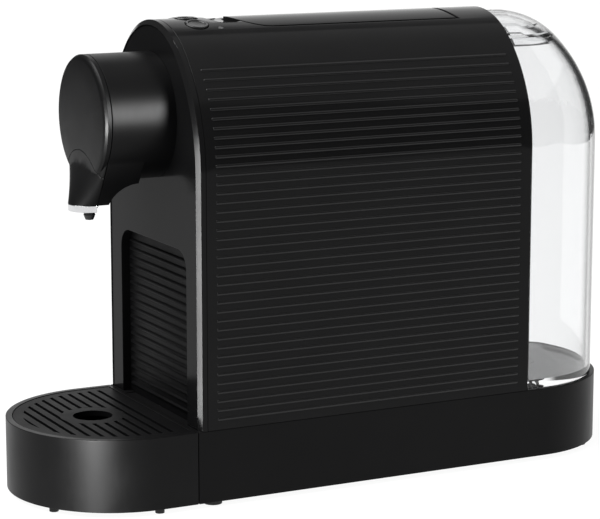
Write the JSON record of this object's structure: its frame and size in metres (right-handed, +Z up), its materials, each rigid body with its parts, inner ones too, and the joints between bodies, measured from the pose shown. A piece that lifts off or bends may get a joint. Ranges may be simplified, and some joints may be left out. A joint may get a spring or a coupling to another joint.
{
  "type": "pod coffee machine",
  "caption": "Slim arched pod coffee machine: ribbed shell, round brew head with spout, drip tray and bin drawer, lift-off clear tank, top lever.",
  "frame": {"origin": "floor level under the middle of the base's outline", "axes": "+Z up, front towards -Y, +X to the machine's right seen from the front"},
  "size_m": [0.1372, 0.403, 0.2859],
  "materials": {
    "gloss_shell": "gloss black moulding",
    "satin_shell": "fine satin black moulding",
    "front_gloss": "polished black panel",
    "clear_tank": "clear moulded plastic",
    "chrome_trim": "bright plated trim",
    "dark_nozzle": "dark grey moulding",
    "rubber": "black rubber",
    "steel": "plain steel",
    "inner_frame": "grey glass-filled plastic",
    "natural_hose": "silicone hose",
    "heater_alloy": "cast alloy",
    "board": "laminate",
    "lamp": "light lens",
    "white_part": "white moulding"
  },
  "bodies": {
    "base": {"base_tub": "satin_shell", "base_cover": "satin_shell", "base_screws": "steel", "rubber_feet": "rubber", "cord_gland": "rubber", "main_shell": "gloss_shell", "front_bezel": "gloss_shell", "front_panel": "front_gloss", "rear_panel": "satin_shell", "head_sleeve": "satin_shell", "head_cap": "satin_shell", "spout_cover": "satin_shell", "spout_ring": "chrome_trim", "nozzle": "dark_nozzle", "outlet_duct": "inner_frame", "chassis_left": "inner_frame", "chassis_right": "inner_frame", "injector": "inner_frame", "pod_seal": "rubber", "pod_chute": "inner_frame", "button_carrier": "inner_frame", "switches": "white_part", "status_light": "lamp", "tank_dock": "satin_shell", "dock_seal": "rubber", "flow_meter": "white_part", "feed_hose": "natural_hose", "pump": "inner_frame", "pump_mounts": "rubber", "pump_hose": "natural_hose", "heater": "heater_alloy", "thermostats": "white_part", "pressure_hose": "natural_hose", "brew_hose": "natural_hose", "control_board": "board", "board_posts": "inner_frame"},
    "tray": {"drip_tray": "satin_shell", "tray_feet": "rubber", "pod_bin": "satin_shell"},
    "grid": {"drip_grid": "satin_shell"},
    "tank": {"water_tank": "clear_tank", "valve_guide": "white_part"},
    "lid": {"tank_lid": "clear_tank"},
    "valve": {"tank_valve": "white_part"},
    "lever": {"lever": "gloss_shell", "lever_shaft": "steel", "lever_forks": "inner_frame"},
    "carriage": {"pod_carriage": "inner_frame", "carriage_pin": "steel"},
    "button_left": {"button_left": "gloss_shell"},
    "button_middle": {"button_middle": "gloss_shell"},
    "button_right": {"button_right": "gloss_shell"}
  },
  "joints": [
    {"name": "tray_pull", "type": "slide", "parent": "base", "child": "tray", "axis": [0, -1, 0], "range_m": [0, 0.13]},
    {"name": "grid_lift", "type": "slide", "parent": "tray", "child": "grid", "axis": [0, 0, 1], "range_m": [0, 0.04]},
    {"name": "tank_lift", "type": "slide", "parent": "base", "child": "tank", "axis": [0, 0, 1], "range_m": [0, 0.25]},
    {"name": "lid_lift", "type": "slide", "parent": "tank", "child": "lid", "axis": [0, 0, 1], "range_m": [0, 0.06]},
    {"name": "valve_push", "type": "slide", "parent": "tank", "child": "valve", "axis": [0, 0, 1], "range_m": [0, 0.003], "stiffness_N_per_m": 300},
    {"name": "lever_open", "type": "hinge", "parent": "base", "child": "lever", "pos_m": [0, 0.07, 0.2708], "axis": [-1, 0, 0], "range_deg": [0, 70]},
    {"name": "carriage_slide", "type": "slide", "parent": "base", "child": "carriage", "axis": [0, -1, 0], "range_m": [0, 0.03381]},
    {"name": "press_left", "type": "slide", "parent": "base", "child": "button_left", "axis": [0.2857, 0, -0.9583], "range_m": [0, 0.0012], "stiffness_N_per_m": 1500},
    {"name": "press_middle", "type": "slide", "parent": "base", "child": "button_middle", "axis": [0, 0, -1], "range_m": [0, 0.0012], "stiffness_N_per_m": 1500},
    {"name": "press_right", "type": "slide", "parent": "base", "child": "button_right", "axis": [-0.2857, 0, -0.9583], "range_m": [0, 0.0012], "stiffness_N_per_m": 1500}
  ],
  "couplings": [
    {"joint": "carriage_slide", "follows": "lever_open", "m_per_rad": 0.02751}
  ]
}
